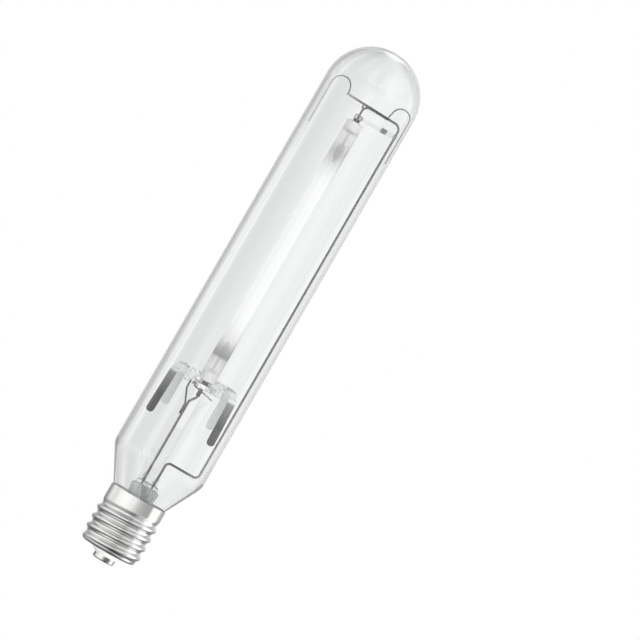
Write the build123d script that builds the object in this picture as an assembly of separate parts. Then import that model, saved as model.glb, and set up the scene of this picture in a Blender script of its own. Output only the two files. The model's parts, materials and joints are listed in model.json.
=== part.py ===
from build123d import *
import os
from math import atan, cos, pi, radians, sin, sqrt, tan

# Driving dimensions in millimetres. The lamp's axis is Z: the end of the centre contact is at zero
# and the dome is on top. The wire frame stands in the XZ plane, with its long rod on the +X side.

# Overall glass
lamp_length = 355.5
bulb_diameter = 60.6
glass_wall = 1.5
shoulder_height = 23.3        # from the collar's edge up to where the cone would meet the tube
shoulder_round = 12.0
neck_round = 6.0
neck_depth = 20.4             # how far the glass neck reaches down into the cap
neck_gap = 0.55               # between the neck and the thread's roots inside the shell
mouth_gap = 0.2               # between the glass and the inside of the collar's edge

# Screw cap, the 40 mm lamp thread with four turns to the inch
shell_wall = 0.5
thread_crest_diameter = 39.4
thread_root_diameter = 35.7
thread_pitch = 6.35
thread_lead_in = 1.65         # from the lip up to the start of the crest
thread_runout = 0.35          # share of a turn over which crest and groove fade
groove_overrun = 0.07         # share of a turn that the top groove runs on past +X at full depth
collar_diameter = 37.4
collar_height = 10.0          # from the top groove on the +X side up to the shell's edge
shell_height = 38.0
lip_bore_diameter = 22.4
lip_round = 2.2
contact_diameter = 14.0
contact_exposed = 3.5
contact_seat_depth = 0.8
contact_edge_round = 1.0
contact_hole_diameter = 2.2
solder_sunk = 0.1             # below the contact's flat end
insulator_foot_margin = 0.4   # how far the insulator's foot stands out past the contact
insulator_cone_height = 2.9
insulator_flange_diameter = 30.0
insulator_flange_height = 3.0
insulator_hole_diameter = 1.8
cement_below_edge = 0.8
seat_clearance = 0.03         # between pieces that are set, sealed or welded together

# Stem
stem_tube_diameter = 18.0
stem_wall = 1.2
flare_height = 10.0
stem_tube_below_collar = 7.4
press_width = 17.0             # at its foot
press_top_width = 19.1
press_thickness = 8.4
press_above_collar = 8.0
press_below_full = 7.4        # from the press's top down to its foot
press_edge_round = 1.6
stem_cavity_width = 13.0
stem_cavity_thickness = 6.0
stem_cavity_below_collar = 1.4
crown_width = 15.5
crown_thickness = 6.4
crown_height = 3.0
crown_round = 2.2
bead_height = 8.0
bead_foot_diameter = 5.0
bead_tip_diameter = 2.8
exhaust_diameter = 5.0
exhaust_wall = 0.9
exhaust_length = 25.0
exhaust_hole_diameter = 3.0
exhaust_hole_rise = 5.0

# Wires and rods
frame_rod_diameter = 1.5
frame_rod_foot_x = 4.2
frame_rod_wall_gap = 3.6      # from the rod's axis to the inside of the glass
frame_step_height = 27.1      # of the frame rod's lower cross run above the collar's edge
frame_step_bend = 3.0
crossbar_below_dome = 6.9     # from the dome's centre down to the cross bar at the frame rod
crossbar_rise = 1.4
crossbar_reach = 13.3         # past the axis, on the -X side
crossbar_bend = 4.0
centre_rod_diameter = 1.6
centre_rod_x = -3.0
centre_rod_bend = 3.0
centre_rod_crank_height = 4.2
rod_embedded = 6.4            # length of each rod inside the press
lead_wire_diameter = 0.8
lead_bend = 2.0
lead_end_z = 0.6              # of the contact's lead, inside its solder
shell_lead_turns = 3          # thread turns from the top groove down to the shell's lead
bow_wire_diameter = 0.8
bow_height = 9.2              # of a bow above the cross bar
bow_foot_lean = 2.2
bow_leg_drop = 34.4           # from the top of a bow to its free end
left_bow_bend = 7.6
right_bow_bend = 5.5
bow_wall_gap = 0.15
left_bow_turn = 24.0          # degrees round the axis from -X, towards the back
right_bow_foot_x = 15.8

# Arc tube
arc_tube_diameter = 10.7
arc_tube_wall = 0.8
arc_tube_height = 81.6        # of its lower end above the collar's edge
arc_tube_below_crossbar = 11.3
arc_tube_end_round = 0.6
plug_length = 6.0
plug_chamfer = 0.3
niobium_diameter = 4.2
niobium_wall = 0.5
niobium_past_plug = 2.0       # into the arc tube
niobium_end_wall = 2.4
upper_niobium_above = 5.0     # out of the arc tube
lower_niobium_below = 3.2
niobium_taper = 1.0
niobium_neck_diameter = 2.7
niobium_neck_length = 6.4
seal_ring_diameter = 8.0
seal_ring_height = 0.6
electrode_diameter = 1.6
electrode_reach = 21.5        # of the tip past the plug
electrode_seat = 1.6
coil_wire_diameter = 1.1
coil_pitch = 1.2
coil_turns = 7
coil_below_tip = 2.4
amalgam_radius = 0.9

# Upper fastening
guide_pin_diameter = 1.2
guide_pin_foot_x = -1.3       # where the pin leaves the cross bar
guide_pin_knee = 9.0          # above the arc tube's end, where the pin comes onto the axis
guide_pin_bend = 2.0
guide_pin_engaged = 5.0
upper_lead_diameter = 1.3
upper_lead_foot = 0.8         # above the arc tube's end
upper_lead_bow = 3.8
upper_lead_bend = 1.5
upper_lead_run = (5.2, 16.2)  # along the front of the cross bar, in X
upper_lead_drop = 0.5         # of that run below the cross bar's axis
strap_height = 2.4
strap_thickness = 0.3
strap_foot = 2.2              # above the arc tube's end
strap_end_x = 19.8
strap_wrap = 200.0            # degrees round the niobium tube
tab_height = 3.0
tab_raise = 0.5
tab_end_x = 15.5
tab_straight = 5.0
tab_hook = 1.6

# Getter parts at the lower end of the arc tube; heights are from the arc tube's end
getter_width = 5.2
getter_thickness = 0.5
getter_turn = 19.0            # degrees in plan
getter_wall_gap = 10.9        # from a strip's middle to the inside of the glass
getter_front_depth = 6.3
getter_front_splay = 3.0
getter_rear_depth = 6.6
getter_front_foot = -33.0
getter_front_corner = -2.2
getter_rear_corner = 4.4
getter_rear_foot = -25.0
getter_bend = 3.0
getter_end_round = 2.3
carrier_thickness = 0.5
carrier_bottom = -5.8
carrier_top = 3.2
carrier_gap = 0.35            # between the carrier and the arc tube
cross_strip_thickness = 0.5
cross_strip_bottom = -5.6
cross_strip_top = -2.9
cross_strip_flat = 2.4
cross_strip_knee = 6.6
cross_strip_reach = 11.0
strip_bend = 1.0
support_wire_diameter = 1.1
support_wire_weld = (-25.0, -18.0)
support_wire_knee = -9.2
support_wire_top = -3.9
support_wire_x = -8.4
support_wire_bend = 2.0
cross_wire_diameter = 0.9
cross_wire_ends = ((-5.0, -5.9), (9.0, -8.8))

# Values that follow from the driving dimensions
tube_r = bulb_diameter / 2
inner_r = tube_r - glass_wall
dome_z = lamp_length - tube_r
crest_r = thread_crest_diameter / 2
root_r = thread_root_diameter / 2
collar_r = collar_diameter / 2
lip_bore_r = lip_bore_diameter / 2
shell_bottom = contact_exposed + insulator_cone_height
thread_height = shell_height - collar_height
thread_turns = (thread_height - thread_lead_in) / thread_pitch
collar_top = shell_bottom + shell_height
top_groove_z = shell_bottom + thread_height
neck_r = root_r - shell_wall - neck_gap
mouth_r = collar_r - shell_wall - mouth_gap
seal_z = collar_top - neck_depth
shoulder_z = collar_top + shoulder_height
cone_slope = (tube_r - mouth_r) / shoulder_height
press_top = collar_top + press_above_collar
press_full_z = press_top - press_below_full
rod_foot_z = press_top - rod_embedded
press_x = (frame_rod_foot_x + centre_rod_x) / 2
cavity_top = collar_top - stem_cavity_below_collar
arc_z = collar_top + arc_tube_height
crossbar_z = dome_z - crossbar_below_dome
arc_top = crossbar_z - arc_tube_below_crossbar
frame_rod_x = inner_r - frame_rod_wall_gap
frame_rod_r = frame_rod_diameter / 2
arc_inner_r = arc_tube_diameter / 2 - arc_tube_wall
niobium_r = niobium_diameter / 2
niobium_bore_r = niobium_r - niobium_wall
neck_bottom = arc_z - lower_niobium_below - niobium_taper - niobium_neck_length


def smooth_step(share):
    """0 below 0, 1 above 1 and a soft ramp between."""
    share = min(1.0, max(0.0, share))
    return share * share * (3 - 2 * share)


def rolled_bump(share):
    """One round swelling, a whole pitch wide, with its peak of 1 at 0."""
    if abs(share) >= 0.5:
        return 0.0
    return (1 + cos(2 * pi * share)) / 2


def turned(points):
    """Solid turned about Z from a closed outline of (radius, height) points."""
    outline = Polyline(*[(r, 0, z) for r, z in points], close=True)
    return revolve(make_face(outline), Axis.Z)


def post(diameter, z_low, z_high, x=0.0, y=0.0):
    """Upright round bar."""
    return Pos(x, y, (z_low + z_high) / 2) * Cylinder(diameter / 2, z_high - z_low)


def bent_wire(points, diameter, bends):
    """Round wire along straight runs joined by bends."""
    path = FilletPolyline(*points, radius=bends)
    start = Plane(origin=path @ 0, z_dir=path % 0)
    return sweep(start * Circle(diameter / 2), path=path.wire())


def ribbon(path, width, thickness, across):
    """Flat strip that follows a path, with its width along the direction across."""
    start = Plane(origin=path @ 0, x_dir=across, z_dir=path % 0)
    return sweep(start * Rectangle(width, thickness), path=path.wire())


def crossbar_height(x):
    """Height of the cross bar's axis, which rises a little towards its free end."""
    return crossbar_z + crossbar_rise * (frame_rod_x - x) / (frame_rod_x + crossbar_reach)


# Screw cap

def thread_radius(turn, z):
    """Outside radius of the rolled shell at a height, turn being the share of a turn from +X."""
    climb = (z - top_groove_z) / thread_pitch - turn
    share = (z - shell_bottom) / thread_height
    base = root_r + (collar_r - root_r) * smooth_step(2 * share - 0.5)
    radius = base
    for k in range(-int(thread_turns) - 4, 3):
        groove = smooth_step((groove_overrun - turn - k) / thread_runout + 1)
        radius += (root_r - base) * groove * rolled_bump(climb - k)
        along = turn + k + 0.5
        start = smooth_step((along + thread_turns) / thread_runout)
        end = smooth_step(-along / thread_runout)
        radius += (crest_r - base) * start * end * rolled_bump(climb - k - 0.5)
    return radius


def shell_section(turn):
    """Closed section through the shell's wall: lip, round, thread and collar."""
    out = Vector(cos(2 * pi * turn), sin(2 * pi * turn), 0)
    thread_bottom = shell_bottom + lip_round
    thread_top = top_groove_z + thread_pitch
    samples = 45

    def at(r, z):
        return out * r + Vector(0, 0, z)

    def wall(inset, floor_z):
        foot_r = thread_radius(turn, thread_bottom)
        round_r = lip_round - inset
        heart_r = foot_r - lip_round
        lip = Edge.make_line(at(lip_bore_r, floor_z), at(heart_r, floor_z))
        middle = at(heart_r + round_r * sin(pi / 4), thread_bottom - round_r * cos(pi / 4))
        corner = Edge.make_three_point_arc(lip @ 1, middle, at(foot_r - inset, thread_bottom))
        heights = [thread_bottom + (thread_top - thread_bottom) * i / (samples - 1)
                   for i in range(samples)]
        thread = Edge.make_spline([at(thread_radius(turn, z) - inset, z) for z in heights])
        collar = Edge.make_line(thread @ 1, at(collar_r - inset, collar_top))
        return [lip, corner, thread, collar]

    outer = wall(0, shell_bottom)
    inner = wall(shell_wall, shell_bottom + shell_wall)
    rim = Edge.make_line(outer[-1] @ 1, inner[-1] @ 1)
    lip_edge = Edge.make_line(inner[0] @ 0, outer[0] @ 0)
    return Wire(outer + [rim] + inner[::-1] + [lip_edge])


def make_screw_shell():
    """Rolled shell, lofted through sections round the axis in two halves and sewn at the seams."""
    steps = 12
    skin = []
    for half_start in (0.25, 0.75):
        sections = [shell_section(half_start + 0.5 * i / steps) for i in range(steps + 1)]
        half = Solid.make_loft(sections)
        seams = [face for face in half.faces().filter_by(GeomType.PLANE)
                 if abs(face.normal_at().Y) < 0.01 and abs(face.normal_at().X) > 0.99]
        skin += [face for face in half.faces() if face not in seams]
    return Solid(Shell(skin))


def make_centre_contact():
    height = contact_exposed + contact_seat_depth
    disc = post(contact_diameter, 0, height)
    disc = fillet(disc.edges().sort_by(Axis.Z)[0], contact_edge_round)
    return disc - post(contact_hole_diameter, 0, height)


def make_contact_solder():
    """Plug of solder in the contact's hole, round the end of its lead."""
    plug_r = contact_hole_diameter / 2 - seat_clearance
    top = contact_exposed
    plug = turned([(0, solder_sunk), (plug_r, solder_sunk), (plug_r, top), (0, top)])
    return plug - post(lead_wire_diameter + 2 * seat_clearance, lead_end_z, top)


def make_cap_insulator():
    """Ceramic disc: a cone below the shell's lip, a waist in the lip's bore, a flange above it."""
    foot_r = contact_diameter / 2 + insulator_foot_margin
    waist_r = lip_bore_r - seat_clearance
    lip_top = shell_bottom + shell_wall
    flange_top = lip_top + insulator_flange_height
    body = turned([(0, contact_exposed), (foot_r, contact_exposed),
                   (lip_bore_r, shell_bottom), (waist_r, shell_bottom), (waist_r, lip_top),
                   (insulator_flange_diameter / 2, lip_top),
                   (insulator_flange_diameter / 2, flange_top), (0, flange_top)])
    seat = post(contact_diameter + 2 * seat_clearance, contact_exposed,
                contact_exposed + contact_seat_depth)
    return body - seat - post(insulator_hole_diameter, contact_exposed, flange_top)


def make_cap_cement():
    """Ring of cement between the plain collar and the neck, just below the collar's edge."""
    top = collar_top - cement_below_edge
    bottom = top_groove_z + thread_pitch
    ring = post(2 * (collar_r - shell_wall - seat_clearance), bottom, top)
    return ring - revolve(bulb_outline(-seat_clearance), Axis.Z)


def make_contact_lead_wire():
    """Lead from the centre rod's foot, past the exhaust tube, down to the contact."""
    sidestep_z = shell_bottom + shell_wall + insulator_flange_height + lead_bend
    across = abs(centre_rod_x)
    return bent_wire([(centre_rod_x, 0, rod_foot_z), (centre_rod_x, 0, sidestep_z + across),
                      (0, 0, sidestep_z), (0, 0, lead_end_z)],
                     lead_wire_diameter, [lead_bend, lead_bend])


def make_shell_lead_wire():
    """Lead from the frame rod's foot out to the back of a thread groove on the +X side."""
    groove_z = top_groove_z - shell_lead_turns * thread_pitch
    end_x = root_r - shell_wall - seat_clearance
    return bent_wire([(frame_rod_foot_x, 0, rod_foot_z), (frame_rod_foot_x, 0, groove_z),
                      (end_x, 0, groove_z)], lead_wire_diameter, [lead_bend])


# Glass

def bulb_outline(inset):
    """Half outline of the bulb, closed on the axis, moved into the glass by inset."""
    slant = inset / cos(atan(cone_slope)) - inset
    neck_corner = collar_top + (neck_r - mouth_r + slant) / cone_slope
    shoulder_corner = shoulder_z + slant / cone_slope
    side = FilletPolyline((neck_r - inset, 0, seal_z), (neck_r - inset, 0, neck_corner),
                          (tube_r - inset, 0, shoulder_corner), (tube_r - inset, 0, dome_z),
                          radius=[neck_round + inset, shoulder_round - inset])
    reach = tube_r - inset
    dome = ThreePointArc((reach, 0, dome_z),
                         (reach * cos(pi / 4), 0, dome_z + reach * sin(pi / 4)),
                         (0, 0, dome_z + reach))
    closing = Polyline((0, 0, dome_z + reach), (0, 0, seal_z), (neck_r - inset, 0, seal_z))
    return make_face(side.edges() + dome.edges() + closing.edges())


def make_outer_bulb():
    return revolve(bulb_outline(0), Axis.Z) - revolve(bulb_outline(glass_wall), Axis.Z)


def make_stem():
    """Flare sealed to the neck, tube, flat press, crown and the beads round the two rods."""
    tube_bore = stem_tube_diameter / 2 - stem_wall
    flare_top = seal_z + flare_height
    tube_top = collar_top - stem_tube_below_collar
    rim_r = neck_r - glass_wall
    outside = TangentArc((stem_tube_diameter / 2, 0, flare_top), (rim_r, 0, seal_z),
                         tangent=(0, 0, -1))
    inside = TangentArc((tube_bore, 0, flare_top), (neck_r - stem_wall, 0, seal_z - stem_wall),
                        tangent=(0, 0, -1))
    rim = Polyline(outside @ 1, (neck_r, 0, seal_z), (neck_r, 0, seal_z - stem_wall), inside @ 1)
    upper = Polyline(outside @ 0, (stem_tube_diameter / 2, 0, tube_top), (tube_bore, 0, tube_top),
                     inside @ 0)
    flare = revolve(make_face(outside.edges() + inside.edges() + rim.edges() + upper.edges()),
                    Axis.Z)

    shoulder = loft([Pos(0, 0, tube_top) * Circle(stem_tube_diameter / 2),
                     Pos(press_x, 0, press_full_z) * SlotOverall(press_width, press_thickness)])
    cavity = loft([Pos(0, 0, tube_top) * Circle(tube_bore),
                   Pos(press_x, 0, cavity_top)
                   * SlotOverall(stem_cavity_width, stem_cavity_thickness)])
    press = loft([Pos(press_x, 0, press_full_z) * SlotOverall(press_width, press_thickness),
                  Pos(press_x, 0, press_top) * SlotOverall(press_top_width, press_thickness)])
    press = fillet(press.faces().sort_by(Axis.Z)[-1].edges(), press_edge_round)
    crown = extrude(Pos(press_x, 0, press_top) * SlotOverall(crown_width, crown_thickness),
                    crown_height)
    crown = fillet(crown.faces().sort_by(Axis.Z)[-1].edges(), crown_round)
    glass = flare + (shoulder - cavity) + press + crown

    for x, rod in ((centre_rod_x, centre_rod_diameter), (frame_rod_foot_x, frame_rod_diameter)):
        bead = Cone(bead_foot_diameter / 2, bead_tip_diameter / 2, bead_height)
        glass += Pos(x, 0, press_top + bead_height / 2) * bead
        glass -= post(rod + 2 * seat_clearance, rod_foot_z, press_top + bead_height, x)
        glass -= post(lead_wire_diameter + 2 * seat_clearance, cavity_top, rod_foot_z, x)

    hole_z = cavity_top + exhaust_hole_rise
    glass -= post(exhaust_hole_diameter, cavity_top, hole_z, press_x)
    side_hole = Rot(90, 0, 0) * Cylinder(exhaust_hole_diameter / 2, press_thickness)
    return glass - Pos(press_x, press_thickness / 2, hole_z) * side_hole


def make_exhaust_tube():
    """Pumping tube below the press, drawn off and closed with a round tip."""
    outer_r = exhaust_diameter / 2
    bore_r = outer_r - exhaust_wall
    tip_z = cavity_top - exhaust_length + outer_r
    body = post(exhaust_diameter, tip_z, cavity_top) + Pos(0, 0, tip_z) * Sphere(outer_r)
    bore = post(2 * bore_r, tip_z, cavity_top) + Pos(0, 0, tip_z) * Sphere(bore_r)
    return Pos(press_x, 0, 0) * (body - bore)


# Frame

def make_frame_rod():
    """Rod from the press, out to the wall, up past the arc tube and back over it."""
    step_z = collar_top + frame_step_height
    return bent_wire([(frame_rod_foot_x, 0, rod_foot_z), (frame_rod_foot_x, 0, step_z),
                      (frame_rod_x, 0, step_z), (frame_rod_x, 0, crossbar_z),
                      (-crossbar_reach, 0, crossbar_height(-crossbar_reach))],
                     frame_rod_diameter, [frame_step_bend, frame_step_bend, crossbar_bend])


def make_centre_rod():
    """Rod from the press up to the lower niobium tube, cranked over to the axis near its top."""
    lean = atan(abs(centre_rod_x) / centre_rod_crank_height)
    crank_top = neck_bottom - centre_rod_bend * tan(lean / 2)
    crank_bottom = crank_top - centre_rod_crank_height
    tip = neck_bottom + niobium_neck_length
    return bent_wire([(centre_rod_x, 0, rod_foot_z), (centre_rod_x, 0, crank_bottom),
                      (0, 0, crank_top), (0, 0, tip)],
                     centre_rod_diameter, [centre_rod_bend, centre_rod_bend])


def bow_spring(foot_x, turn, bend):
    """Wire bow from the cross bar to a leg that lies along the glass, turn in degrees from +X."""
    leg_r = inner_r - bow_wire_diameter / 2 - bow_wall_gap
    leg_x = leg_r * cos(radians(turn))
    leg_y = leg_r * sin(radians(turn))
    top = crossbar_z + bow_height + bow_wire_diameter
    tilt = atan(bow_foot_lean / bow_height)
    foot_z = (crossbar_height(foot_x) + frame_rod_r + seat_clearance
              + bow_wire_diameter / 2 * sin(tilt))
    lean = bow_foot_lean / sqrt((leg_x - foot_x) ** 2 + leg_y ** 2)
    knee_x = foot_x + (leg_x - foot_x) * lean
    return bent_wire([(foot_x, 0, foot_z), (knee_x, leg_y * lean, top), (leg_x, leg_y, top),
                      (leg_x, leg_y, top - bow_leg_drop)], bow_wire_diameter, [bend, bend])


def make_guide_pin():
    """Pin under the cross bar that slides in the upper niobium tube as the arc tube grows hot."""
    knee = arc_top + guide_pin_knee
    bar_z = crossbar_height(guide_pin_foot_x + guide_pin_diameter / 2) - frame_rod_r - seat_clearance
    tilt = atan(abs(guide_pin_foot_x) / (bar_z - knee))
    top = bar_z - guide_pin_diameter / 2 * sin(tilt)
    bottom = arc_top + upper_niobium_above - guide_pin_engaged
    return bent_wire([(0, 0, bottom), (0, 0, knee), (guide_pin_foot_x, 0, top)],
                     guide_pin_diameter, [guide_pin_bend])


def strap_plane_y():
    """Depth of the strap's straight run, which leaves the niobium tube on its front side."""
    return -(niobium_r + seat_clearance + strap_thickness / 2)


def make_upper_lead_wire():
    """Stiff lead, welded to the front of the strap, bowed over and welded along the cross bar."""
    front_y = strap_plane_y() - strap_thickness / 2 - seat_clearance - upper_lead_diameter / 2
    reach = frame_rod_r + seat_clearance + upper_lead_diameter / 2
    run_y = -sqrt(reach ** 2 - upper_lead_drop ** 2)
    run_start, run_end = upper_lead_run
    start_z = crossbar_height(run_start) - upper_lead_drop
    end_z = crossbar_height(run_end) - upper_lead_drop
    return bent_wire([(0, front_y, arc_top + upper_lead_foot), (0, front_y, start_z),
                      (run_start, run_y, start_z), (run_end, run_y, end_z)],
                     upper_lead_diameter, [upper_lead_bow, upper_lead_bend])


def make_upper_strap():
    """Ribbon wrapped round the upper niobium tube, with a straight tail towards the frame rod."""
    middle_z = arc_top + strap_foot + strap_height / 2
    loop_r = -strap_plane_y()
    wrap = CenterArc((0, 0, middle_z), loop_r, 270 - strap_wrap, strap_wrap)
    tail = Line(wrap @ 1, (strap_end_x, -loop_r, middle_z))
    return ribbon(Wire(wrap.edges() + tail.edges()), strap_height, strap_thickness, (0, 0, 1))


def make_strap_tab():
    """Ribbon hooked round the frame rod and welded to the front of the strap's tail."""
    middle_z = arc_top + strap_foot + strap_height / 2 + tab_raise
    hook_r = frame_rod_r + seat_clearance + strap_thickness / 2
    lap_y = strap_plane_y() - strap_thickness - seat_clearance
    knee_x = tab_end_x + tab_straight
    path = FilletPolyline((tab_end_x, lap_y, middle_z), (knee_x, lap_y, middle_z),
                          (frame_rod_x - hook_r, -hook_r, middle_z),
                          (frame_rod_x, -hook_r, middle_z), radius=[strip_bend, strip_bend])
    hook = CenterArc((frame_rod_x, 0, middle_z), hook_r, -90, 180)
    tail = Line(hook @ 1, (frame_rod_x - tab_hook, hook_r, middle_z))
    route = Wire(path.edges() + hook.edges() + tail.edges())
    return ribbon(route, tab_height, strap_thickness, (0, 0, 1))


# Arc tube

def make_arc_tube():
    """Translucent tube, its outer edges rounded at both ends."""
    body = post(arc_tube_diameter, arc_z, arc_top)
    body = fillet(body.edges().filter_by(GeomType.CIRCLE), arc_tube_end_round)
    return body - post(2 * arc_inner_r, arc_z, arc_top)


def make_end_plug(inner_z, outer_z):
    low, high = min(inner_z, outer_z), max(inner_z, outer_z)
    disc = post(2 * (arc_inner_r - seat_clearance), low, high)
    disc = chamfer(disc.edges().filter_by(GeomType.CIRCLE), plug_chamfer)
    return disc - post(niobium_diameter + 2 * seat_clearance, low, high)


def make_seal_ring(face_z, away):
    """Fillet of sealing frit on a plug's outer face, round the niobium tube."""
    bore_r = niobium_r + seat_clearance
    tip_r = bore_r + seal_ring_height / 2
    return turned([(bore_r, face_z), (seal_ring_diameter / 2, face_z),
                   (tip_r, face_z + away * seal_ring_height),
                   (bore_r, face_z + away * seal_ring_height)])


def make_upper_niobium_tube():
    """Feed-through, open at the top for the guide pin and closed below round the electrode."""
    bottom = arc_top - plug_length - niobium_past_plug
    top = arc_top + upper_niobium_above
    shell = post(niobium_diameter, bottom, top)
    shell -= post(2 * niobium_bore_r, bottom + niobium_end_wall, top)
    return shell - post(electrode_diameter + 2 * seat_clearance, bottom, bottom + electrode_seat)


def make_lower_niobium_tube():
    """Feed-through with its outer end drawn down to a neck over the centre rod."""
    top = arc_z + plug_length + niobium_past_plug
    main_z = arc_z - lower_niobium_below
    neck_top = main_z - niobium_taper
    neck_tube_r = niobium_neck_diameter / 2
    rod_bore_r = centre_rod_diameter / 2 + seat_clearance
    shell = turned([(rod_bore_r, neck_bottom), (neck_tube_r, neck_bottom),
                    (neck_tube_r, neck_top), (niobium_r, main_z), (niobium_r, top), (0, top),
                    (0, top - niobium_end_wall), (niobium_bore_r, top - niobium_end_wall),
                    (niobium_bore_r, main_z), (rod_bore_r, neck_top)])
    return shell - post(electrode_diameter + 2 * seat_clearance, top - electrode_seat, top)


def make_electrode_rod(seat_z, tip_z):
    low, high = min(seat_z, tip_z), max(seat_z, tip_z)
    return post(electrode_diameter, low, high)


def make_electrode_coil(low_z):
    """Close winding of tungsten wire round an electrode rod."""
    winding_r = electrode_diameter / 2 + seat_clearance + coil_wire_diameter / 2
    path = Helix(coil_pitch, coil_pitch * coil_turns, winding_r)
    start = Plane(origin=path @ 0, z_dir=path % 0)
    coil = sweep(start * Circle(coil_wire_diameter / 2), path=path, is_frenet=True)
    return Pos(0, 0, low_z + coil_wire_diameter / 2) * coil


def make_amalgam_dose():
    """Drop that lies on the lower plug, between the niobium tube and the wall."""
    floor_z = arc_z + plug_length
    drop = Pos((niobium_r + arc_inner_r) / 2, 0, floor_z) * Sphere(amalgam_radius)
    return drop - Pos(0, 0, floor_z - bulb_diameter / 2) * Box(bulb_diameter, bulb_diameter,
                                                              bulb_diameter)


# Getter parts

def getter_point(depth, height):
    """Point in the left strip's fold plane, depth being towards the back."""
    x = -(inner_r - getter_wall_gap)
    turn = radians(getter_turn)
    return (x + depth * sin(turn), depth * cos(turn), arc_z + height)


def make_left_getter_strip():
    """Strip folded like a staple: a long front leg, a rising top and a shorter rear leg."""
    front_depth = -getter_front_depth
    path = FilletPolyline(getter_point(front_depth - getter_front_splay, getter_front_foot),
                          getter_point(front_depth, getter_front_corner),
                          getter_point(getter_rear_depth, getter_rear_corner),
                          getter_point(getter_rear_depth, getter_rear_foot),
                          radius=[getter_bend, getter_bend])
    turn = radians(getter_turn)
    across = Vector(cos(turn), -sin(turn), 0)
    strip = ribbon(path, getter_width, getter_thickness, across)
    feet = [face for face in strip.faces() if face.area < 1.5 * getter_width * getter_thickness]
    corners = [edge for foot in feet for edge in foot.edges()
               if edge.length < 1.5 * getter_thickness]
    return fillet(corners, getter_end_round)


def carrier_y():
    """Depth of the carrier's flat middle, just behind the arc tube."""
    return arc_tube_diameter / 2 + carrier_gap + carrier_thickness / 2


def make_getter_carrier():
    """Strip behind the arc tube with both wings turned back to lie flat on the rear legs."""
    behind = getter_rear_depth + getter_thickness / 2 + seat_clearance + carrier_thickness / 2
    turn = radians(getter_turn)
    x, y, z = getter_point(behind, 0)
    end_x = x - getter_width / 2 * cos(turn)
    end_y = y + getter_width / 2 * sin(turn)
    knee_x = end_x + (end_y - carrier_y()) / tan(turn)
    middle_z = arc_z + (carrier_bottom + carrier_top) / 2
    path = FilletPolyline((end_x, end_y, middle_z), (knee_x, carrier_y(), middle_z),
                          (-knee_x, carrier_y(), middle_z), (-end_x, end_y, middle_z),
                          radius=[strip_bend, strip_bend])
    return ribbon(path, carrier_top - carrier_bottom, carrier_thickness, (0, 0, 1))


def cross_strip_wing_y():
    """Depth of the cross strip's wings, flat on the front of the carrier."""
    return carrier_y() - carrier_thickness / 2 - seat_clearance - cross_strip_thickness / 2


def make_cross_strip():
    """Strip welded across the front of the lower niobium tube, its wings on the carrier's front."""
    middle_y = -(niobium_r + seat_clearance + cross_strip_thickness / 2)
    middle_z = arc_z + (cross_strip_bottom + cross_strip_top) / 2
    half = [(cross_strip_flat, middle_y), (cross_strip_knee, cross_strip_wing_y()),
            (cross_strip_reach, cross_strip_wing_y())]
    points = [(-x, y, middle_z) for x, y in half[::-1]] + [(x, y, middle_z) for x, y in half]
    path = FilletPolyline(*points, radius=[strip_bend] * 4)
    return ribbon(path, cross_strip_top - cross_strip_bottom, cross_strip_thickness, (0, 0, 1))


def make_getter_support_wire():
    """Thin wire welded along the centre rod and up to the left wing of the cross strip."""
    weld_x = centre_rod_x - centre_rod_diameter / 2 - seat_clearance - support_wire_diameter / 2
    weld_low, weld_high = support_wire_weld
    top_y = (cross_strip_wing_y() - cross_strip_thickness / 2 - seat_clearance
             - support_wire_diameter / 2)
    return bent_wire([(weld_x, 0, arc_z + weld_low), (weld_x, 0, arc_z + weld_high),
                      (support_wire_x, top_y, arc_z + support_wire_knee),
                      (support_wire_x, top_y, arc_z + support_wire_top)],
                     support_wire_diameter, [support_wire_bend, support_wire_bend])


def make_cross_wire():
    """Short wire welded across the front of the lower niobium tube's neck."""
    y = -(niobium_neck_diameter / 2 + seat_clearance + cross_wire_diameter / 2)
    (x_left, z_left), (x_right, z_right) = cross_wire_ends
    path = Line((x_left, y, arc_z + z_left), (x_right, y, arc_z + z_right))
    start = Plane(origin=path @ 0, z_dir=path % 0)
    return sweep(start * Circle(cross_wire_diameter / 2), path=path)


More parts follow.
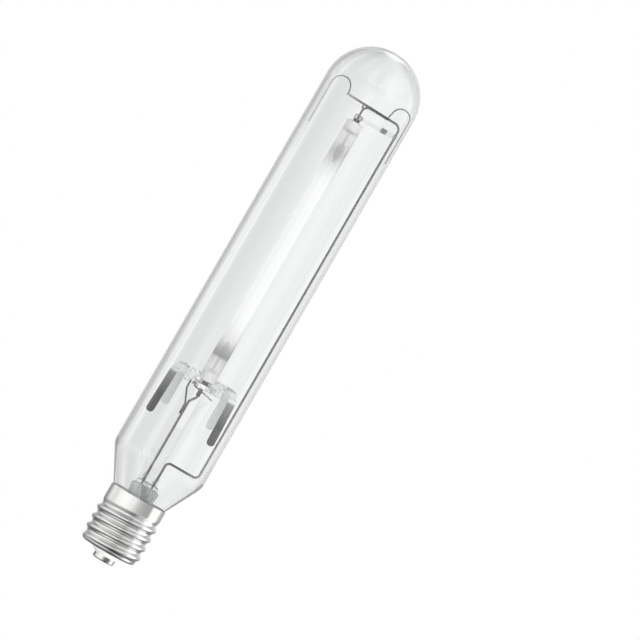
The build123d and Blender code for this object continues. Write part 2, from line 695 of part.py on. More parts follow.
def make_parts():
    lower_plug_z = arc_z + plug_length
    upper_plug_z = arc_top - plug_length
    coil_length = coil_pitch * coil_turns + coil_wire_diameter
    lower_tip = lower_plug_z + electrode_reach
    upper_tip = upper_plug_z - electrode_reach
    electrode_foot = niobium_past_plug - electrode_seat
    left_getter = make_left_getter_strip()
    return {
        "screw_shell": make_screw_shell(),
        "cap_insulator": make_cap_insulator(),
        "centre_contact": make_centre_contact(),
        "contact_solder": make_contact_solder(),
        "cap_cement": make_cap_cement(),
        "contact_lead_wire": make_contact_lead_wire(),
        "shell_lead_wire": make_shell_lead_wire(),
        "outer_bulb": make_outer_bulb(),
        "stem": make_stem(),
        "exhaust_tube": make_exhaust_tube(),
        "frame_rod": make_frame_rod(),
        "centre_rod": make_centre_rod(),
        "left_bow_spring": bow_spring(-crossbar_reach + bow_wire_diameter, 180 - left_bow_turn,
                                      left_bow_bend),
        "right_bow_spring": bow_spring(right_bow_foot_x, 0, right_bow_bend),
        "guide_pin": make_guide_pin(),
        "upper_lead_wire": make_upper_lead_wire(),
        "upper_strap": make_upper_strap(),
        "strap_tab": make_strap_tab(),
        "arc_tube": make_arc_tube(),
        "lower_end_plug": make_end_plug(lower_plug_z, arc_z),
        "upper_end_plug": make_end_plug(upper_plug_z, arc_top),
        "lower_seal_ring": make_seal_ring(arc_z, -1),
        "upper_seal_ring": make_seal_ring(arc_top, 1),
        "lower_niobium_tube": make_lower_niobium_tube(),
        "upper_niobium_tube": make_upper_niobium_tube(),
        "lower_electrode_rod": make_electrode_rod(lower_plug_z + electrode_foot, lower_tip),
        "upper_electrode_rod": make_electrode_rod(upper_plug_z - electrode_foot, upper_tip),
        "lower_electrode_coil": make_electrode_coil(lower_tip - coil_below_tip - coil_length),
        "upper_electrode_coil": make_electrode_coil(upper_tip + coil_below_tip),
        "amalgam_dose": make_amalgam_dose(),
        "left_getter_strip": left_getter,
        "right_getter_strip": mirror(left_getter, Plane.YZ),
        "getter_carrier": make_getter_carrier(),
        "cross_strip": make_cross_strip(),
        "getter_support_wire": make_getter_support_wire(),
        "cross_wire": make_cross_wire(),
    }


os.makedirs("parts", exist_ok=True)
for name, solid in make_parts().items():
    export_step(solid, f"parts/{name}.step")
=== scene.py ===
import json
import math

import bpy
from mathutils import Matrix, Vector

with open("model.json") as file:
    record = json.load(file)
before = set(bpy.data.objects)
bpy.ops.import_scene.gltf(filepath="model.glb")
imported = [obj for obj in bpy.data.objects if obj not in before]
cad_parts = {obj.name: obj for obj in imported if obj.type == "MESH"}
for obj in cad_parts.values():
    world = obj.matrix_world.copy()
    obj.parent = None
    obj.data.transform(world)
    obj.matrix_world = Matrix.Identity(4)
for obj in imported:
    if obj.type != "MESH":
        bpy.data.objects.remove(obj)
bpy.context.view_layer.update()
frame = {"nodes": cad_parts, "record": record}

MM = 0.001


def linear(hex_colour):
    """Linear RGBA of an sRGB colour written as RRGGBB."""
    values = [int(hex_colour[i:i + 2], 16) / 255 for i in (0, 2, 4)]
    return [v / 12.92 if v <= 0.04045 else ((v + 0.055) / 1.055) ** 2.4 for v in values] + [1.0]


def per_mm(size):
    """Scale of a pattern on metre coordinates whose features are size millimetres across."""
    return 1 / (size * MM)


def add(tree, kind, values=None, links=None, stops=(), **settings):
    """Adds a node: settings are its properties, values its sockets and links the outputs that feed it.
    The stops of a ramp are pairs of a place from 0 to 1 and a linear grey level, in rising order."""
    node = tree.nodes.new(kind)
    for name, value in settings.items():
        setattr(node, name, value)
    for socket, value in (values or {}).items():
        node.inputs[socket].default_value = value
    for socket, (source, output) in (links or {}).items():
        tree.links.new(source.outputs[output], node.inputs[socket])
    for i, (place, level) in enumerate(stops):
        band = node.color_ramp.elements
        stop = band[i] if i < 2 else band.new(place)
        stop.position = place
        stop.color = (level, level, level, 1)
    return node


def new_material(name):
    """An empty material, its node tree and its texture coordinates."""
    material = bpy.data.materials.new(name)
    material.use_nodes = True
    tree = material.node_tree
    tree.nodes.clear()
    return material, tree, add(tree, "ShaderNodeTexCoord")


# Finishes

def nickel_plated_brass():
    """Nickel plate on deep-drawn brass: a bright neutral mirror, softened by faint upright draw marks
    and by patches that handling has dulled."""
    material, tree, where = new_material("nickel_plate_on_drawn_brass")
    patches = add(tree, "ShaderNodeTexNoise", {"Scale": per_mm(7), "Detail": 3.0},
                  {"Vector": (where, "Object")})
    upright = add(tree, "ShaderNodeMapping", {"Scale": (1, 1, 0.06)}, {"Vector": (where, "Object")})
    marks = add(tree, "ShaderNodeTexNoise", {"Scale": per_mm(0.7), "Detail": 2.0},
                {"Vector": (upright, "Vector")})
    dull = add(tree, "ShaderNodeMapRange",
               {"From Min": 0.3, "From Max": 0.7, "To Min": 0.10, "To Max": 0.19},
               {"Value": (patches, "Fac")})
    tone = add(tree, "ShaderNodeMix", {"A": linear("F1F1F0"), "B": linear("E3E3E2")},
               {"Factor": (patches, "Fac")}, data_type="RGBA")
    relief = add(tree, "ShaderNodeBump", {"Strength": 0.25, "Distance": 0.01 * MM},
                 {"Height": (marks, "Fac")})
    shader = add(tree, "ShaderNodeBsdfPrincipled", {"Metallic": 1.0},
                 {"Base Color": (tone, "Result"), "Roughness": (dull, "Result"),
                  "Normal": (relief, "Normal")})
    add(tree, "ShaderNodeOutputMaterial", links={"Surface": (shader, "BSDF")})
    return material


def contact_with_painted_reflections():
    """The cap's contact: the same nickel plate, with dark reflections painted on it as ragged patches."""
    material, tree, where = new_material("nickel_plate_with_painted_dark_reflections")
    cloud = add(tree, "ShaderNodeTexNoise", {"Scale": per_mm(2.5), "Detail": 3.0},
                {"Vector": (where, "Object")})
    tone = add(tree, "ShaderNodeMix", {"A": linear("F1F1F0"), "B": linear("DADAD9")},
               {"Factor": (cloud, "Fac")}, data_type="RGBA")
    ragged_by = 1.2
    # Millimetres: the middle of each painted dark reflection, and how far from it the patch starts to fade
    # and ends
    painted_dark_patches = (((1.6, -6.8, 1.8), 1.8, 3.3), ((-6.4, -2.8, 1.8), 1.5, 2.6), ((6.9, -0.8, 1.8), 1.3, 2.3))
    for middle, solid, spread in painted_dark_patches:
        reach = add(tree, "ShaderNodeVectorMath", {1: [v * MM for v in middle]}, {0: (where, "Object")},
                    operation="DISTANCE")
        ragged = add(tree, "ShaderNodeMath", {1: ragged_by * MM}, {0: (cloud, "Fac"), 2: (reach, "Value")},
                     operation="MULTIPLY_ADD")
        beyond_patch = add(tree, "ShaderNodeMapRange", {"From Min": solid * MM, "From Max": spread * MM},
                    {"Value": (ragged, 0)})
        # Painted reflection: in each patch the plate is darkened to this grey
        tone = add(tree, "ShaderNodeMix", {"A": linear("8C8C8B")},
                   {"Factor": (beyond_patch, "Result"), "B": (tone, "Result")}, data_type="RGBA")
    dull = add(tree, "ShaderNodeMapRange", {"To Min": 0.12, "To Max": 0.2}, {"Value": (cloud, "Fac")})
    shader = add(tree, "ShaderNodeBsdfPrincipled", {"Metallic": 1.0},
                 {"Base Color": (tone, "Result"), "Roughness": (dull, "Result")})
    add(tree, "ShaderNodeOutputMaterial", links={"Surface": (shader, "BSDF")})
    return material


def glazed_ceramic():
    """White glazed steatite of the cap's insulator: glossy, with faint cloudy mottling under the glaze."""
    material, tree, where = new_material("glazed_white_ceramic")
    cloud = add(tree, "ShaderNodeTexNoise", {"Scale": per_mm(3), "Detail": 4.0},
                {"Vector": (where, "Object")})
    tone = add(tree, "ShaderNodeMix", {"A": linear("FAFAF9"), "B": linear("ECECEA")},
               {"Factor": (cloud, "Fac")}, data_type="RGBA")
    shader = add(tree, "ShaderNodeBsdfPrincipled", {"Roughness": 0.22, "Coat Weight": 0.3},
                 {"Base Color": (tone, "Result")})
    add(tree, "ShaderNodeOutputMaterial", links={"Surface": (shader, "BSDF")})
    return material


def grained(name, light, dark, roughness, metallic, grain, depth):
    """A dull finish whose tone, gloss and relief vary together over grains. The size of a grain and the depth
    of the relief are in millimetres."""
    material, tree, where = new_material(name)
    grains = add(tree, "ShaderNodeTexNoise", {"Scale": per_mm(grain), "Detail": 4.0, "Roughness": 0.6},
                 {"Vector": (where, "Object")})
    tone = add(tree, "ShaderNodeMix", {"A": linear(light), "B": linear(dark)},
               {"Factor": (grains, "Fac")}, data_type="RGBA")
    gloss = add(tree, "ShaderNodeMapRange",
                {"To Min": roughness * 0.7, "To Max": min(1.0, roughness * 1.3)},
                {"Value": (grains, "Fac")})
    relief = add(tree, "ShaderNodeBump", {"Strength": 0.4, "Distance": depth * MM},
                 {"Height": (grains, "Fac")})
    shader = add(tree, "ShaderNodeBsdfPrincipled", {"Metallic": metallic},
                 {"Base Color": (tone, "Result"), "Roughness": (gloss, "Result"),
                  "Normal": (relief, "Normal")})
    add(tree, "ShaderNodeOutputMaterial", links={"Surface": (shader, "BSDF")})
    return material


def drawn_nickel_wire(name, highlight_start, highlight_full):
    """Drawn nickel wire of the frame: grey metal with a patchy dull skin, darkened by heat beside the arc
    tube. Between two places, in millimetres along X, it turns from burnt to a pale painted highlight."""
    material, tree, where = new_material(name)
    axes = add(tree, "ShaderNodeSeparateXYZ", links={"Vector": (where, "Object")})
    skin = add(tree, "ShaderNodeTexNoise", {"Scale": per_mm(2.5), "Detail": 4.0, "Roughness": 0.6},
               {"Vector": (where, "Object")})
    low, high = 60, 330
    share = add(tree, "ShaderNodeMapRange", {"From Min": low * MM, "From Max": high * MM},
                {"Value": (axes, "Z")})
    # Height in millimetres, and how far the heat has darkened the wire there
    heated = ((90, 0.0), (150, 1.0), (290, 1.0), (316, 0.2))
    heat = add(tree, "ShaderNodeValToRGB", links={"Fac": (share, "Result")},
               stops=[((z - low) / (high - low), level) for z, level in heated])
    drawn = add(tree, "ShaderNodeMix", {"A": linear("8E8D8B"), "B": linear("6A6967")},
                {"Factor": (skin, "Fac")}, data_type="RGBA")
    dark = add(tree, "ShaderNodeMix", {"A": linear("6A6967"), "B": linear("454443")},
               {"Factor": (skin, "Fac")}, data_type="RGBA")
    burnt = add(tree, "ShaderNodeMix",
                links={"Factor": (heat, "Color"), "A": (drawn, "Result"), "B": (dark, "Result")},
                data_type="RGBA")
    # Painted highlight: past the first place the wire lightens towards a pale tone, as if lit
    painted_highlight_end = add(tree, "ShaderNodeMapRange",
                    {"From Min": highlight_start * MM, "From Max": highlight_full * MM, "To Max": 0.8},
                    {"Value": (axes, "X")})
    tone = add(tree, "ShaderNodeMix", {"B": linear("D2D1CF")},
               {"Factor": (painted_highlight_end, "Result"), "A": (burnt, "Result")}, data_type="RGBA")
    gloss = add(tree, "ShaderNodeMapRange", {"To Min": 0.22, "To Max": 0.40}, {"Value": (skin, "Fac")})
    relief = add(tree, "ShaderNodeBump", {"Strength": 0.4, "Distance": 0.02 * MM},
                 {"Height": (skin, "Fac")})
    shader = add(tree, "ShaderNodeBsdfPrincipled", {"Metallic": 1.0},
                 {"Base Color": (tone, "Result"), "Roughness": (gloss, "Result"),
                  "Normal": (relief, "Normal")})
    add(tree, "ShaderNodeOutputMaterial", links={"Surface": (shader, "BSDF")})
    return material


def blown_glass():
    """Clear hard glass of the bulb: smooth, with long faint waves from drawing that bend reflections."""
    material, tree, where = new_material("clear_blown_glass")
    drawn = add(tree, "ShaderNodeMapping", {"Scale": (1, 1, 0.12)}, {"Vector": (where, "Object")})
    waves = add(tree, "ShaderNodeTexNoise", {"Scale": per_mm(14), "Detail": 1.0},
                {"Vector": (drawn, "Vector")})
    relief = add(tree, "ShaderNodeBump", {"Strength": 0.15, "Distance": 0.06 * MM},
                 {"Height": (waves, "Fac")})
    shader = add(tree, "ShaderNodeBsdfPrincipled",
                 {"Base Color": linear("FDFEFE"), "Roughness": 0.0, "IOR": 1.49,
                  "Transmission Weight": 1.0},
                 {"Normal": (relief, "Normal")})
    add(tree, "ShaderNodeOutputMaterial", links={"Surface": (shader, "BSDF")})
    return material


def pinched_glass():
    """Glass of the stem. The press, pinched between two jaws while soft, is grey and streaky in its
    thickness:
    painted shade for the dark inside of the cap seen through it, with more painted shade on one side of the
    jaws' seam. The glass that crept up the rods stays clear."""
    material, tree, where = new_material("pinched_stem_glass")
    axes = add(tree, "ShaderNodeSeparateXYZ", links={"Vector": (where, "Object")})
    ripples = add(tree, "ShaderNodeTexNoise", {"Scale": per_mm(5), "Detail": 2.0, "Distortion": 1.0},
                  {"Vector": (where, "Object")})
    # The seam leans to the left by this much for each millimetre of height
    lean = 0.45
    slant = add(tree, "ShaderNodeMath", {1: lean}, {0: (axes, "Z"), 2: (axes, "X")},
                operation="MULTIPLY_ADD")
    low, high = 15, 35
    share = add(tree, "ShaderNodeMapRange", {"From Min": low * MM, "From Max": high * MM},
                {"Value": (slant, 0)})
    # Millimetres across the slanting seam, and how much painted shade darkens the glass there
    darkened = ((20.6, 0.0), (21.8, 0.9), (24.2, 0.85), (26.0, 0.4), (31.0, 0.25))
    painted_facet_shade = add(tree, "ShaderNodeValToRGB", links={"Fac": (share, "Result")},
              stops=[((x - low) / (high - low), level) for x, level in darkened])
    # Painted shade: the grey press stands for the dark cap seen through it, darker still right of the seam
    left = add(tree, "ShaderNodeMix", {"A": linear("D8D9D9"), "B": linear("B6B7B7")},
               {"Factor": (ripples, "Fac")}, data_type="RGBA")
    right = add(tree, "ShaderNodeMix", {"A": linear("A6A7A7"), "B": linear("848585")},
                {"Factor": (ripples, "Fac")}, data_type="RGBA")
    grey = add(tree, "ShaderNodeMix",
               links={"Factor": (painted_facet_shade, "Color"), "A": (left, "Result"), "B": (right, "Result")},
               data_type="RGBA")
    # Heights in millimetres between which the grey press turns to clear glass, and how far that edge wavers
    press_top, clear_from, wavers = 53.4, 54.2, 2.0
    wavy = add(tree, "ShaderNodeMath", {1: wavers * MM}, {0: (ripples, "Fac"), 2: (axes, "Z")},
               operation="MULTIPLY_ADD")
    crept = add(tree, "ShaderNodeMapRange", {"From Min": press_top * MM, "From Max": clear_from * MM},
                {"Value": (wavy, 0)})
    tone = add(tree, "ShaderNodeMix", {"B": linear("F7F9F9")},
               {"Factor": (crept, "Result"), "A": (grey, "Result")}, data_type="RGBA")
    depth = add(tree, "ShaderNodeMapRange", {"To Min": 0.5, "To Max": 1.0}, {"Value": (crept, "Result")})
    relief = add(tree, "ShaderNodeBump", {"Strength": 0.5, "Distance": 0.8 * MM},
                 {"Height": (ripples, "Fac")})
    shader = add(tree, "ShaderNodeBsdfPrincipled", {"Roughness": 0.05, "IOR": 1.5},
                 {"Base Color": (tone, "Result"), "Transmission Weight": (depth, "Result"),
                  "Normal": (relief, "Normal")})
    add(tree, "ShaderNodeOutputMaterial", links={"Surface": (shader, "BSDF")})
    return material


def sintered_alumina():
    """Translucent sintered alumina of the arc tube: milky white. Its skin scatters light once, so that the
    electrodes inside show as a blur, and painted shadows of the electrodes and plugs dim it near both ends."""
    material, tree, where = new_material("translucent_sintered_alumina")
    axes = add(tree, "ShaderNodeSeparateXYZ", links={"Vector": (where, "Object")})
    grains = add(tree, "ShaderNodeTexNoise", {"Scale": per_mm(1.5), "Detail": 3.0},
                 {"Vector": (where, "Object")})
    white = add(tree, "ShaderNodeMix", {"A": linear("FFFFFF"), "B": linear("FAFAF9")},
                {"Factor": (grains, "Fac")}, data_type="RGBA")
    low, high = 120, 320
    share = add(tree, "ShaderNodeMapRange", {"From Min": low * MM, "From Max": high * MM},
                {"Value": (axes, "Z")})
    # Height in millimetres and what the painted shadows of the plugs and electrodes leave of the white there
    dimmed = ((126, 0.73), (136, 0.71), (141.5, 0.64), (143.5, 0.30), (147, 0.42), (151, 0.60), (154, 0.76),
              (158, 0.86), (164, 0.94), (172, 0.98), (262, 0.98), (268, 0.95), (275, 0.85), (281, 0.68),
              (286, 0.55), (293, 0.72), (299, 0.77), (300.5, 0.57), (302, 0.77), (307, 0.81))
    painted_electrode_shade = add(tree, "ShaderNodeValToRGB", links={"Fac": (share, "Result")},
                  stops=[((z - low) / (high - low), level) for z, level in dimmed])
    tone = add(tree, "ShaderNodeMix", {"Factor": 1.0}, {"A": (white, "Result"), "B": (painted_electrode_shade, "Color")},
               data_type="RGBA", blend_type="MULTIPLY")
    skin = add(tree, "ShaderNodeBsdfPrincipled", {"Roughness": 0.4, "Specular IOR Level": 0.3},
               {"Base Color": (tone, "Result")})
    blur = add(tree, "ShaderNodeBsdfRefraction", {"Roughness": 0.35, "IOR": 1.2},
               {"Color": (tone, "Result")})
    milky = add(tree, "ShaderNodeMixShader", {"Fac": 0.4}, {1: (skin, "BSDF"), 2: (blur, "BSDF")})
    # The bore and the far side, met from inside, let the scattered light out
    bore_radius = 4.65
    across = add(tree, "ShaderNodeCombineXYZ", links={"X": (axes, "X"), "Y": (axes, "Y")})
    radius = add(tree, "ShaderNodeVectorMath", links={0: (across, "Vector")}, operation="LENGTH")
    bore = add(tree, "ShaderNodeMath", {1: bore_radius * MM}, {0: (radius, "Value")}, operation="LESS_THAN")
    face = add(tree, "ShaderNodeNewGeometry")
    inside = add(tree, "ShaderNodeMath", links={0: (bore, 0), 1: (face, "Backfacing")}, operation="MAXIMUM")
    clear = add(tree, "ShaderNodeBsdfTransparent")
    shader = add(tree, "ShaderNodeMixShader",
                 links={"Fac": (inside, 0), 1: (milky, "Shader"), 2: (clear, "BSDF")})
    add(tree, "ShaderNodeOutputMaterial", links={"Surface": (shader, "Shader")})
    return material


def bright_strip():
    """Bright rolled nickel strip: silvery, and creased by hand bending, which breaks up its reflections."""
    material, tree, where = new_material("bright_rolled_nickel_strip")
    dents = add(tree, "ShaderNodeTexNoise", {"Scale": per_mm(3.5), "Detail": 1.5},
                {"Vector": (where, "Object")})
    tone = add(tree, "ShaderNodeMix", {"A": linear("FFFFFF"), "B": linear("DCDDDD")},
               {"Factor": (dents, "Fac")}, data_type="RGBA")
    relief = add(tree, "ShaderNodeBump", {"Strength": 1.0, "Distance": 1.4 * MM},
                 {"Height": (dents, "Fac")})
    shader = add(tree, "ShaderNodeBsdfPrincipled", {"Metallic": 0.8, "Roughness": 0.15},
                 {"Base Color": (tone, "Result"), "Normal": (relief, "Normal")})
    add(tree, "ShaderNodeOutputMaterial", links={"Surface": (shader, "BSDF")})
    return material


def strip_with_painted_reflections():
    """The same strip at the upper fastening, with dark reflections painted where it wraps the niobium tube,
    where the tab laps the strap and where the tab hooks round the rod. Between them it stays bright."""
    material, tree, where = new_material("nickel_strip_with_painted_dark_reflections")
    axes = add(tree, "ShaderNodeSeparateXYZ", links={"Vector": (where, "Object")})
    # Noise that makes the edges of the painted dark reflections uneven
    painted_dark_patches = add(tree, "ShaderNodeTexNoise", {"Scale": per_mm(1.5), "Detail": 3.0},
                 {"Vector": (where, "Object")})
    uneven_by = 1.6
    uneven = add(tree, "ShaderNodeMath", {1: uneven_by * MM}, {0: (painted_dark_patches, "Fac"), 2: (axes, "X")},
                 operation="MULTIPLY_ADD")
    low, high = -3, 27
    share = add(tree, "ShaderNodeMapRange", {"From Min": low * MM, "From Max": high * MM},
                {"Value": (uneven, 0)})
    # Millimetres from the lamp's axis, and the level there: the low levels are painted dark reflections
    painted_reflection_levels = ((-2, 0.22), (-0.6, 0.60), (2.2, 0.60), (3.4, 0.26), (4.2, 0.86), (16.0, 0.84), (16.8, 0.32),
             (18.4, 0.15), (19.8, 0.22), (20.6, 0.78), (24.6, 0.80), (25.2, 0.22))
    painted_reflection = add(tree, "ShaderNodeValToRGB", links={"Fac": (share, "Result")},
               stops=[((x - low) / (high - low), level) for x, level in painted_reflection_levels])
    shader = add(tree, "ShaderNodeBsdfPrincipled", {"Metallic": 0.5, "Roughness": 0.3},
                 {"Base Color": (painted_reflection, "Color")})
    add(tree, "ShaderNodeOutputMaterial", links={"Surface": (shader, "BSDF")})
    return material


def getter_strip(name, leg_tone_and_painted_shade):
    """Steel strip whose outer side carries a dark sintered getter coat: grainy and matt, thinner towards
    the fold. The fold and the inner side are bare satin metal; the fold has a painted highlight and the
    crease painted shade. The leg tone is the bare tone of the legs, on one strip greyed as painted shade."""
    material, tree, where = new_material(name)
    axes = add(tree, "ShaderNodeSeparateXYZ", links={"Vector": (where, "Object")})
    facing = add(tree, "ShaderNodeSeparateXYZ", links={"Vector": (where, "Normal")})
    # The strips mirror each other. Inwards is towards the axis, and a leg's depth is counted along the fold,
    # which is turned by this angle and has its middle this many millimetres from the axis.
    turn, middle = math.radians(19), 17.9
    side = add(tree, "ShaderNodeMath", links={0: (axes, "X")}, operation="SIGN")
    from_axis = add(tree, "ShaderNodeMath", links={0: (axes, "X")}, operation="ABSOLUTE")
    inwards = add(tree, "ShaderNodeMath", {0: middle * MM}, {1: (from_axis, 0)}, operation="SUBTRACT")
    across = add(tree, "ShaderNodeMath", {1: math.cos(turn)}, {0: (axes, "Y")}, operation="MULTIPLY")
    depth = add(tree, "ShaderNodeMath", {1: math.sin(turn)}, {0: (inwards, 0), 2: (across, 0)},
                operation="MULTIPLY_ADD")
    leg = add(tree, "ShaderNodeMath", links={0: (depth, 0)}, operation="SIGN")
    faces_in = add(tree, "ShaderNodeMath", links={0: (facing, "X"), 1: (side, 0)}, operation="MULTIPLY")
    faces_back = add(tree, "ShaderNodeMath", {1: math.cos(turn)}, {0: (facing, "Y")}, operation="MULTIPLY")
    faces = add(tree, "ShaderNodeMath", {1: -math.sin(turn)}, {0: (faces_in, 0), 2: (faces_back, 0)},
                operation="MULTIPLY_ADD")
    outwards = add(tree, "ShaderNodeMath", links={0: (faces, 0), 1: (leg, 0)}, operation="MULTIPLY")
    outer = add(tree, "ShaderNodeMath", {1: 0.5}, {0: (outwards, 0)}, operation="GREATER_THAN")
    grains = add(tree, "ShaderNodeTexNoise", {"Scale": per_mm(0.9), "Detail": 4.0, "Roughness": 0.7},
                 {"Vector": (where, "Object")})
    # Heights in millimetres: the coat's upper edge and how ragged it is, where the coat thins, where a leg
    # turns into the fold with its painted highlight, and where the crease gets painted shade
    coat_edge, ragged_by, thinning = (121.6, 123.4), 1.6, (106, 122)
    folded, painted_crease_shade = (122, 125), (127.4, 129.2)
    ragged = add(tree, "ShaderNodeMath", {1: ragged_by * MM}, {0: (grains, "Fac"), 2: (axes, "Z")},
                 operation="MULTIPLY_ADD")
    below = add(tree, "ShaderNodeMapRange", {"From Min": coat_edge[1] * MM, "From Max": coat_edge[0] * MM},
                {"Value": (ragged, 0)})
    coated = add(tree, "ShaderNodeMath", links={0: (outer, 0), 1: (below, "Result")}, operation="MULTIPLY")
    thin = add(tree, "ShaderNodeMapRange", {"From Min": thinning[0] * MM, "From Max": thinning[1] * MM},
               {"Value": (axes, "Z")})
    coat = add(tree, "ShaderNodeMix", {"A": linear("3A3A3A"), "B": linear("7E7E7E")},
               {"Factor": (thin, "Result")}, data_type="RGBA")
    specks = add(tree, "ShaderNodeMix", {"Factor": 0.4}, {"A": (coat, "Result"), "B": (grains, "Fac")},
                 data_type="RGBA", blend_type="OVERLAY")
    fold = add(tree, "ShaderNodeMapRange", {"From Min": folded[0] * MM, "From Max": folded[1] * MM},
               {"Value": (axes, "Z")})
    # Painted highlight: the bare metal turns lighter over the fold
    satin = add(tree, "ShaderNodeMix", {"A": linear(leg_tone_and_painted_shade), "B": linear("F0F1F1")},
                {"Factor": (fold, "Result")}, data_type="RGBA")
    bare = add(tree, "ShaderNodeMix", {"Factor": 0.15}, {"A": (satin, "Result"), "B": (grains, "Fac")},
               data_type="RGBA", blend_type="OVERLAY")
    crease = add(tree, "ShaderNodeMapRange",
                 {"From Min": painted_crease_shade[0] * MM, "From Max": painted_crease_shade[1] * MM, "To Max": 0.85},
                 {"Value": (axes, "Z")})
    # Painted shade: the crease is darkened to this grey
    creased = add(tree, "ShaderNodeMix", {"B": linear("5A5B5B")},
                  {"Factor": (crease, "Result"), "A": (bare, "Result")}, data_type="RGBA")
    tone = add(tree, "ShaderNodeMix",
               links={"Factor": (coated, 0), "A": (creased, "Result"), "B": (specks, "Result")},
               data_type="RGBA")
    metal = add(tree, "ShaderNodeMapRange", {"To Min": 0.45, "To Max": 0.0}, {"Value": (coated, 0)})
    gloss = add(tree, "ShaderNodeMapRange", {"To Min": 0.32, "To Max": 0.85}, {"Value": (coated, 0)})
    relief = add(tree, "ShaderNodeBump", {"Strength": 0.3, "Distance": 0.1 * MM},
                 {"Height": (grains, "Fac")})
    shader = add(tree, "ShaderNodeBsdfPrincipled", links={
        "Base Color": (tone, "Result"), "Metallic": (metal, "Result"), "Roughness": (gloss, "Result"),
        "Normal": (relief, "Normal")})
    add(tree, "ShaderNodeOutputMaterial", links={"Surface": (shader, "BSDF")})
    return material


finishes = {
    "nickel_plate": nickel_plated_brass(),
    "white_ceramic": glazed_ceramic(),
    # Tin solder that set in the contact's hole: grey metal with a crystalline bloom
    "solder": grained("dull_tin_solder", "C4C4C6", "9C9C9F", 0.35, 1.0, 0.8, 0.05),
    # Baked basing cement: dry, sandy and grey
    "cement": grained("dry_basing_cement", "A9A8A5", "7E7D7A", 0.95, 0.0, 0.6, 0.2),
    "clear_glass": blown_glass(),
    "stem_glass": pinched_glass(),
    # Most wires have no painted highlight, so the places are beyond them
    "nickel_wire": drawn_nickel_wire("drawn_nickel_wire", 30, 40),
    "alumina": sintered_alumina(),
    # Sealing frit: glassy and greyish
    "frit": grained("glassy_sealing_frit", "B4AFA8", "8C8780", 0.35, 0.0, 0.8, 0.05),
    # Niobium tube: a grey metal darker than the wires, made darker still as painted shade, with a drawn sheen
    "niobium": grained("drawn_niobium_tube", "4C4C4E", "2B2B2D", 0.28, 1.0, 1.6, 0.02),
    # Tungsten of the electrodes: dark and matt
    "tungsten": grained("matt_tungsten", "5C5C5E", "3E3E40", 0.50, 1.0, 0.5, 0.03),
    # Sodium amalgam: a bright liquid-looking drop
    "amalgam": grained("bright_sodium_amalgam", "DCDCDE", "BEBEC2", 0.10, 1.0, 0.7, 0.03),
    "bright_strip": bright_strip(),
    "getter_strip": getter_strip("steel_strip_with_getter_coat", "E2E4E4"),
}
# Finishes of pieces that differ from the rest of their slot. The solid alumina of the end plugs is chalky,
# grey and lets no shape through.
plug_alumina = grained("chalky_alumina_plug", "D0D1D0", "C2C3C2", 0.5, 0.0, 1.5, 0.02)
reflection_painted_strip = strip_with_painted_reflections()
own_finishes = {
    "lower_end_plug": plug_alumina,
    "upper_end_plug": plug_alumina,
    "upper_strap": reflection_painted_strip,
    "strap_tab": reflection_painted_strip,
    "centre_contact": contact_with_painted_reflections(),
    # The left strip's bare metal is painted greyer than the right one's: painted shade
    "left_getter_strip": getter_strip("steel_strip_with_getter_coat_and_painted_shade", "CACCCC"),
    # Wires with a painted highlight at one end
    "frame_rod": drawn_nickel_wire("drawn_nickel_frame_rod", -1, -10),
    "left_bow_spring": drawn_nickel_wire("drawn_nickel_bow_spring", -18, -25),
    "cross_wire": drawn_nickel_wire("drawn_nickel_cross_wire", 1, 4),
}
for part in frame["record"]["subparts"]:
    node = frame["nodes"][part["node"]]
    node.data.materials.clear()
    node.data.materials.append(own_finishes.get(part["node"], finishes[part["material_slot"]]))

# Light passes a clear bulb, so it casts no shadow on what it holds
for name in ("outer_bulb", "stem"):
    frame["nodes"][name].visible_shadow = False
    frame["nodes"][name].visible_diffuse = False


# Studio

def make_camera():
    """Long lens, level with the lamp's middle and rolled, so that the lamp leans as in the photograph."""
    lens, sensor, field = 300.0, 36.0, 388.2 * MM
    aim = Vector((41.3, 0, 192.5)) * MM
    lean = math.radians(30)
    forward = Vector((0, 1, 0))
    up = Vector((-math.sin(lean), 0, math.cos(lean)))
    side = forward.cross(up)
    data = bpy.data.cameras.new("studio_camera")
    data.lens = lens
    data.sensor_width = sensor
    data.clip_end = 100
    camera = bpy.data.objects.new("studio_camera", data)
    turn = Matrix((side, up, -forward)).transposed().to_4x4()
    camera.matrix_world = Matrix.Translation(aim - forward * (lens / sensor * field)) @ turn
    bpy.context.collection.objects.link(camera)
    bpy.context.scene.camera = camera


